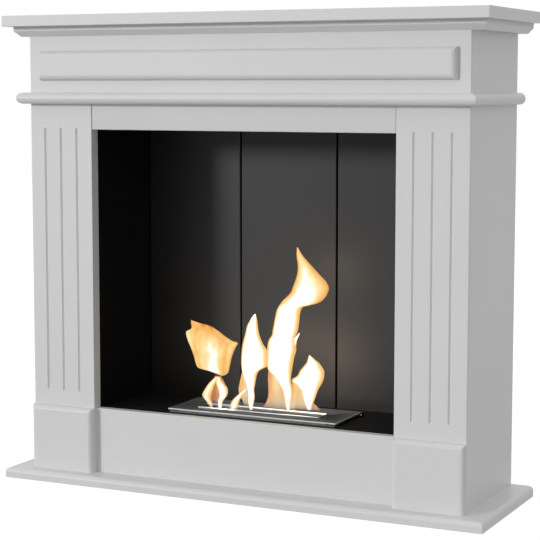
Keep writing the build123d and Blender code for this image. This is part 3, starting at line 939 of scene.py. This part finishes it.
    def add_bed(self) -> bpy.types.Object:
        """Builds the fibre bed, softly uneven on top.

        Returns:
            The piece, which stands for the plain CAD block.
        """
        shape = bmesh.new()
        bmesh.ops.create_grid(shape, x_segments=self.bed_cells[0], y_segments=self.bed_cells[1], size=0.5)
        (wide, deep), corner = self.bed_mm, self.bed_corner_mm
        for vert in shape.verts:
            x, y = vert.co.x * wide, vert.co.y * deep
            over = Vector((max(abs(x) - wide / 2 + corner, 0.0), max(abs(y) - deep / 2 + corner, 0.0)))
            if over.x > 0 and over.y > 0 and over.length > corner:
                over *= corner / over.length
                x = math.copysign(wide / 2 - corner + over.x, x)
                y = math.copysign(deep / 2 - corner + over.y, y)
            vert.co = Vector((x, y + self.bed_middle_y_mm, self.bed_high_mm)) * MM
        rim = [edge for edge in shape.edges if edge.is_boundary]
        skirt = bmesh.ops.extrude_edge_only(shape, edges=rim)["geom"]
        for item in skirt:
            if isinstance(item, bmesh.types.BMVert):
                item.co.z = self.bed_low_mm * MM
        bmesh.ops.contextual_create(shape, geom=[item for item in skirt if isinstance(item, bmesh.types.BMEdge)])
        for vert in shape.verts:
            if vert.co.z > (self.bed_low_mm + self.bed_high_mm) / 2 * MM:
                bulge = sum(noise.noise(vert.co * rate) * height for rate, height in self.bed_waves)
                vert.co.z -= (self.bed_sink_mm + bulge) * MM
        bmesh.ops.recalc_face_normals(shape, faces=shape.faces)
        piece = finish_piece("fibre_bed", shape, CeramicFibre().make(), "burner", smooth_angle=50.0)
        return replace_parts(piece, "ceramic_wool")

    def add_knob(self) -> bpy.types.Object:
        """Builds the turned knob with its bright pin and flat neck.

        Returns:
            The piece, which stands for the plain CAD knob.
        """
        shape = bmesh.new()
        r, half, c, pin = self.knob_r_mm, self.knob_l_mm / 2, self.knob_chamfer_mm, self.pin_r_mm
        waist, (inner, outer), (well_width, well_depth) = r - self.waist_deep_mm, self.waist_half_mm, self.well_mm
        hole, end, bevel = (pin + self.pin_gap_mm, well_depth - half), -self.pin_out_mm - half, self.pin_chamfer_mm
        self.spin_outline(shape, [
            (0.0, half), (r - c, half), (r, half - c), (r, outer), (waist, inner), (waist, -inner), (r, -outer),
            (r, c - half), (r - c, -half), (pin + well_width, -half), hole], 0)
        self.spin_outline(shape, [
            hole, (pin, well_depth - half), (pin, end + bevel), (pin - bevel, end), (0.0, end)], 1)
        bmesh.ops.remove_doubles(shape, verts=shape.verts, dist=WELD_M)
        bmesh.ops.recalc_face_normals(shape, faces=shape.faces)
        _, y, z = self.knob_mm
        for vert in add_block(shape, (self.neck_start_mm + self.neck_mm[0] / 2, y, z), self.neck_mm):
            for face in vert.link_faces:
                face.material_index = 1
        piece = finish_piece("turned_knob", shape, BlackOxide().make(), "shutter", smooth_angle=40.0)
        piece.data.materials.append(material_of("shutter_handle"))
        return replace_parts(piece, "shutter_knob")

    def spin_outline(self, shape: bmesh.types.BMesh, outline: list[tuple[float, float]], index: int) -> None:
        """Spins an outline round the knob's axis.

        Args:
            shape: The mesh that takes it.
            outline: Radius and place along the axis of each corner, in millimetres.
            index: The material slot of its faces.
        """
        middle = Vector(self.knob_mm) * MM
        verts = [shape.verts.new(middle + Vector((radius, along, 0)) * MM) for radius, along in outline]
        edges = [shape.edges.new(pair) for pair in zip(verts, verts[1:])]
        before = set(shape.faces)
        bmesh.ops.spin(shape, geom=verts + edges, cent=middle, axis=(0, 1, 0), angle=2 * math.pi,
                       steps=self.knob_steps, use_merge=True)
        for face in set(shape.faces) - before:
            face.material_index = index


@dataclass(frozen=True)
class Tongue:
    """One tongue of flame, cut level from its tip down; each cut is height, left edge and right edge in millimetres."""

    name: str
    cuts: tuple[tuple[float, float, float], ...]
    depth_ratio: float = 0.45
    lean_mm: float = 0.0
    fuel: float = 1.0  # 1 burns white at its middle, less stays orange and clear
    cooling: float = 0.0  # how much of that heat is gone at the tip
    rim: float = 0.0  # what burns brighter just inside the edges
    mottle: float = 1.0  # how far the heat wanders over the tongue
    mauve: float = 0.0  # share of the cool mauve of alcohol vapour


@dataclass
class Flames:
    """The fire over the slot, as tongues of burning fuel."""

    slot_y_mm: float = -6.0
    wool_z_mm: float = 120.5
    around: int = 32
    finest_mm: float = 4.0
    thinnest_mm: float = 1.0
    deepest_mm: float = 26.0
    rim_middle: float = 0.9  # both as shares of half the tongue's width
    rim_spread: float = 0.2
    keep: float = 0.02
    tongues: tuple[Tongue, ...] = (
        Tongue("cup", (
            (321.2, -157.5, -156.5), (316.9, -157, -138.9), (312.7, -156.5, -116.3), (308.1, -155.5, -105.1),
            (303.4, -157.6, -96.9), (299.4, -166, -89.8), (295.6, -168.1, -84.7), (289.1, -167.1, -73.5),
            (284.5, -165.5, -63.4), (282.5, -164.5, -53.3), (278.1, -163, -54.3), (268.2, -157.8, -59.9),
            (251.5, -150.7, -66.5), (237.7, -146.6, -69.6), (228, -141.4, -71.7), (224.5, -128, -72.7),
            (222, -113.6, -73.7), (217.5, -99.3, -78.8), (214.6, -89, -86)),
            depth_ratio=0.25, lean_mm=2.0, fuel=0.62, cooling=0.45, rim=0.34, mottle=2.8),
        Tongue("left_leg", (
            (211.9, -99.3, -95.2), (204.6, -108.5, -97.3), (196.2, -116.8, -102.4), (188.9, -122, -105.5),
            (179.6, -128.2, -109.7), (172.5, -130.8, -111.8), (165.7, -126.2, -111.8), (158.2, -119, -108.7),
            (149.6, -113.9, -106.7)), depth_ratio=0.5, lean_mm=-3.0, fuel=0.66, rim=0.2),
        Tongue("left_leg_inner", (
            (210.2, -97.2, -92.1), (203.3, -100.3, -88.1), (195.8, -99.3, -79.9), (189.2, -96.3, -75.3),
            (180.4, -94.3, -74.9), (173.4, -93.8, -77.9), (166.1, -96.4, -84.1), (158.1, -96.4, -87.2),
            (148.2, -95.4, -87.2)), depth_ratio=0.5, lean_mm=1.0, fuel=0.85),
        Tongue("left_veil", (
            (213, -104, -90), (200, -113, -82), (190, -119, -79), (180, -123, -79), (170, -119, -82),
            (160, -112, -86)), depth_ratio=0.05, lean_mm=3.0, fuel=0.3, rim=0.1, mauve=0.25, mottle=1.5),
        Tongue("middle", (
            (341.4, -17.1, -15.1), (335.5, -23.1, -13.1), (328.6, -27.1, -11.6), (316.9, -33.6, -10.1),
            (301.3, -37.2, -7.1), (283.9, -42.2, 0.8), (269.6, -44.3, 10.3), (254.1, -45.3, 11.8),
            (241.4, -45.3, 11.8), (237.4, -44.8, 6.8), (233.1, -44.3, -2.2), (227.1, -43.3, -9.2),
            (215.4, -39.3, -13.2), (202.8, -34.3, -15.2), (192.1, -31.3, -17.2), (178.5, -29.3, -15.7),
            (167.6, -30.3, -17.2), (159.8, -28.3, -18.8), (152, -26.3, -20.3)), lean_mm=4.0, cooling=0.15),
        Tongue("middle_veil", (
            (228.3, -45.3, -27.2), (214.8, -47.9, -19.2), (202, -50.5, -19.2), (191.1, -52, -21.2),
            (181.3, -50.5, -22.3), (173.6, -45.4, -23.3), (160.2, -37.4, -23.3)),
            depth_ratio=0.05, lean_mm=6.0, fuel=0.46, rim=0.3, mauve=0.5, mottle=2.2),
        Tongue("middle_wedge", (
            (193.4, -32.3, -30.8), (188.1, -39.4, -33.8), (183.8, -45.4, -38.4), (176.4, -54.6, -42.4),
            (169, -62.7, -47), (161.8, -67.3, -49.5), (155.7, -69.3, -51.6), (149.7, -69.9, -54.6)),
            depth_ratio=0.6, lean_mm=-6.0, fuel=0.72),
        Tongue("main", (
            (476, 75, 77), (460, 74, 88), (441, 77, 107), (426, 76, 122), (413, 72, 136), (400, 67, 142),
            (390, 63, 139), (382, 56, 134), (372, 45, 123), (366, 41, 104), (361, 37, 88), (352.5, 32.5, 83.3),
            (344.7, 30.5, 81.4), (333.1, 28.1, 80), (322.4, 26.1, 78.5), (311.7, 23.6, 76.1), (303.9, 22.6, 72.7),
            (298, 18.7, 72.3), (291.1, 14.7, 73.3), (275.6, 11.8, 73.8), (262, 11.2, 69.5), (244.5, 11.2, 66),
            (233.9, 14.7, 64.1), (227.4, 22.7, 63.1), (219, 30.6, 62.6), (212.4, 35.6, 63.1), (198.4, 44.5, 66.1),
            (188.8, 47.4, 66.1), (181.1, 49.9, 64.7), (169.4, 51.4, 62.2), (158.8, 53.4, 60.8)),
            depth_ratio=0.4, cooling=0.5),
        Tongue("main_spur", (
            (310.8, 80.1, 81.1), (305.9, 75.7, 80.1), (300.8, 70.8, 77.6), (294.8, 64, 75.5), (285.9, 58.1, 74.2)),
            depth_ratio=0.4),
        Tongue("main_veil", (
            (244, 11.8, 24.7), (234.6, 11.4, 34.5), (226.2, 11.2, 42.5), (217.7, 11.2, 48.4), (206.3, 11.8, 54.3),
            (196.8, 12.4, 58.2), (187.2, 12.8, 62.2), (176.7, 11.8, 66.1), (167.9, 7.8, 70.1), (160.1, 2.8, 74)),
            depth_ratio=0.05, lean_mm=6.0, fuel=0.52, rim=0.15, mauve=0.48, mottle=2.6),
        Tongue("right", (
            (269.3, 102.5, 103.9), (265.6, 101, 109.8), (260.1, 99.1, 117), (254.5, 96.7, 124.3),
            (246.8, 90.4, 130.1), (239, 83.6, 134), (228.2, 77.8, 133), (223.1, 70, 131.6), (217.1, 65.1, 129.2),
            (212.5, 73.9, 126.4), (202.1, 84.7, 120.6), (192.5, 87.6, 116.8), (179.9, 90.6, 112),
            (173.2, 93.5, 109.6), (162.6, 97.5, 106.2)), lean_mm=-3.0, cooling=0.2),
        Tongue("right_veil", (
            (220.9, 64.1, 79.8), (209.6, 62.2, 87.6), (200.1, 62.2, 93.5), (190.7, 60.2, 99.3),
            (181.2, 57.3, 107.1), (171.7, 52.4, 116.8), (163.3, 46.5, 128.5)),
            depth_ratio=0.05, lean_mm=4.0, fuel=0.5, rim=0.12, mauve=0.42, mottle=2.6),
    )

    def build(self) -> list[bpy.types.Object]:
        """Builds every tongue.

        Returns:
            The pieces, which ride on the burner.
        """
        material = AlcoholFlame().make()
        pieces = []
        for tongue in self.tongues:
            piece = finish_piece(f"flame_{tongue.name}", self.shell(tongue), material, "burner", smooth_angle=180.0)
            piece.visible_shadow = piece.visible_glossy = False
            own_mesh(piece)
            pieces.append(piece)
        return pieces

    def shell(self, tongue: Tongue) -> bmesh.types.BMesh:
        """Builds the closed shell of a tongue, with its heat and its height kept on the vertices.

        Args:
            tongue: The tongue.

        Returns:
            The mesh.
        """
        shape = bmesh.new()
        warmth, rise, turn, mottle, mauve = (
            shape.verts.layers.float.new(name) for name in ("warmth", "rise", "turn", "mottle", "mauve"))
        ring = bmesh.ops.create_circle(shape, cap_ends=True, segments=self.around, radius=1.0)["verts"]
        for vert in ring:
            vert[turn] = math.atan2(vert.co.y, vert.co.x)
        edges = shape.edges[:]
        levels = self.smooth_cuts(tongue.cuts)[::-1]
        low, top = levels[0][0], levels[-1][0]
        for count, (height, left, right) in enumerate(levels):
            if count:
                grown = bmesh.ops.extrude_edge_only(shape, edges=edges)["geom"]
                ring = [item for item in grown if isinstance(item, bmesh.types.BMVert)]
                edges = [item for item in grown if isinstance(item, bmesh.types.BMEdge)]
            up = (height - low) / (top - low)
            half = (right - left) / 2
            deep = min(half * tongue.depth_ratio, self.deepest_mm)
            for vert in ring:
                across, out = math.cos(vert[turn]), math.sin(vert[turn])
                vert.co = Vector((
                    (left + right) / 2 + across * half,
                    self.slot_y_mm + tongue.lean_mm * up + out * deep, height)) * MM
                edge = tongue.rim * max(0.0, 1 - abs(abs(across) - self.rim_middle) / self.rim_spread)
                vert[warmth] = (tongue.fuel * abs(out) + edge) * (1 - tongue.cooling * max(up * 2 - 1, 0.0))
                vert[rise], vert[mottle], vert[mauve] = up, tongue.mottle, tongue.mauve
        bmesh.ops.contextual_create(shape, geom=edges)
        bmesh.ops.recalc_face_normals(shape, faces=shape.faces)
        return shape

    def smooth_cuts(self, cuts: tuple[tuple[float, float, float], ...]) -> list[tuple[float, float, float]]:
        """Fills in level cuts on a smooth curve through the given ones.

        Args:
            cuts: The tongue's own cuts.

        Returns:
            Cuts about the finest step apart.
        """
        points = [Vector(cut) for cut in cuts]
        points = [points[0] * 2 - points[1], *points, points[-1] * 2 - points[-2]]
        levels = []
        for before, start, end, after in zip(points, points[1:], points[2:], points[3:]):
            steps = max(2, round((start - end).length / self.finest_mm))
            for step in range(steps):
                t = step / steps
                curve = (start * 2 + (end - before) * t + (before * 2 - start * 5 + end * 4 - after) * t**2
                         + (start * 3 - before - end * 3 + after) * t**3) / 2
                levels.append((curve.x, curve.y, max(curve.z, curve.y + self.thinnest_mm)))
        levels.append(tuple(cuts[-1]))
        return levels


@dataclass
class Studio:
    """Pale floor, white surroundings, one distant soft lamp, the fire's light and the camera."""

    horizon: float = 0.39
    zenith: float = 0.83
    key_strength: float = 1.27
    key_width: float = 10.0
    key_left: float = 36.8
    key_up: float = 10.8
    curtain_place: tuple[float, float, float] = (-4.5, -6.0, 2.5)
    curtain_size: tuple[float, float] = (15.0, 5.0)
    floor_half: float = 9.0
    fire_tone: str = "ffdcae"
    fire_watts: float = 0.2
    fire_spread: float = 165.0
    fire_radius_mm: float = 45.0
    fires_mm: tuple[tuple[float, float, float], ...] = (
        (48.0, -40.0, 400.0), (38.0, -40.0, 250.0), (-42.0, -40.0, 250.0), (58.0, -40.0, 205.0))
    camera_place: tuple[float, float, float] = (1.411468, -2.904356, 0.780417)
    camera_pitch: float = 83.860
    camera_turn: float = 25.811
    camera_lens: float = 111.61
    camera_sensor: float = 36.0
    camera_shift: tuple[float, float] = (0.00705, -0.00452)

    def build(self) -> None:
        """Sets up the world, the lamps, the curtain, the floor and the camera."""
        bpy.context.scene.view_settings.view_transform = "Standard"
        self.light_world()
        self.hang_lamp()
        self.light_fire()
        self.hang_curtain()
        self.spread("studio_floor", self.floor_half, Matrix(), PaleFloor())
        self.place_camera()

    def light_world(self) -> None:
        """White to the eye and in reflections, softer as light on the object."""
        world = bpy.data.worlds.new("white_studio")
        world.use_nodes = True
        tree = world.node_tree
        tree.nodes.clear()
        through = add(tree, "LightPath").outputs["Is Transmission Ray"]
        seen = add(tree, "Math", {"operation": "MAXIMUM"}, {0: seen_straight(tree), 1: through})
        up = add(tree, "SeparateXYZ", inputs={0: add(tree, "TexCoord").outputs["Generated"]}).outputs["Z"]
        sky = add(tree, "MapRange", inputs={"Value": up, "To Min": self.horizon, "To Max": self.zenith})
        strength = add(tree, "MapRange", inputs={"Value": seen, "To Min": sky, "To Max": 1.0})
        light = add(tree, "Background", inputs={"Strength": strength, "Color": WHITE})
        add(tree, "OutputWorld", inputs={"Surface": light})
        bpy.context.scene.world = world

    def hang_lamp(self) -> None:
        """One distant soft lamp, low at the front left."""
        lamp = bpy.data.lights.new("softbox", "SUN")
        lamp.energy, lamp.angle = self.key_strength, math.radians(self.key_width)
        key = put(lamp.name, lamp)
        key.rotation_euler = (math.radians(90 - self.key_up), 0.0, math.radians(-self.key_left))

    def light_fire(self) -> None:
        """The fire's own warm light, which falls on the steel behind and beside it."""
        for count, place in enumerate(self.fires_mm):
            lamp = bpy.data.lights.new(f"firelight_{count}", "SPOT")
            lamp.energy, lamp.shadow_soft_size = self.fire_watts, self.fire_radius_mm * MM
            lamp.spot_size, lamp.spot_blend = math.radians(self.fire_spread), 1.0
            lamp.color = linear(self.fire_tone)[:3]
            fire = put(lamp.name, lamp)
            fire.location = Vector(place) * MM
            fire.rotation_euler = (math.pi / 2, 0.0, 0.0)

    def hang_curtain(self) -> None:
        """A dim curtain behind the camera, which only glossy surfaces see."""
        place = (Matrix.Translation(self.curtain_place) @ Matrix.Rotation(math.pi / 2, 4, "X")
                 @ Matrix.Diagonal((*self.curtain_size, 1.0, 1.0)))
        curtain = self.spread("studio_curtain", 0.5, place, DimCloth())
        for kind in ("camera", "diffuse", "transmission", "volume_scatter", "shadow"):
            setattr(curtain, f"visible_{kind}", False)

    def spread(self, name: str, half: float, place: Matrix, finish: Finish) -> bpy.types.Object:
        """Spreads a flat square of the studio.

        Args:
            name: Its name.
            half: Half its side before it is placed, in metres.
            place: What moves, turns and stretches it.
            finish: Its finish.

        Returns:
            The new object.
        """
        shape = bmesh.new()
        bmesh.ops.create_grid(shape, x_segments=1, y_segments=1, size=half, matrix=place)
        square = put(name, mesh_of(name, shape, finish.make()))
        return square

    def place_camera(self) -> None:
        """Puts the camera where the photograph was taken from."""
        lens = bpy.data.cameras.new("camera")
        lens.sensor_width, lens.lens = self.camera_sensor, self.camera_lens
        lens.shift_x, lens.shift_y = self.camera_shift
        camera = put(lens.name, lens)
        camera.location = self.camera_place
        camera.rotation_euler = (math.radians(self.camera_pitch), 0.0, math.radians(self.camera_turn))
        bpy.context.scene.camera = camera


def main() -> None:
    """Builds the fireplace, class by class, then the studio."""
    logging.basicConfig(level=logging.INFO, format="%(message)s")
    log = logging.getLogger("fireplace")
    for group in (Surround(), Firebox(), Burner(), Flames()):
        for piece in group.build():
            log.info("%s: %s added", type(group).__name__, piece.name)
    Studio().build()
    log.info("studio ready")


if __name__ == "__main__":
    main()
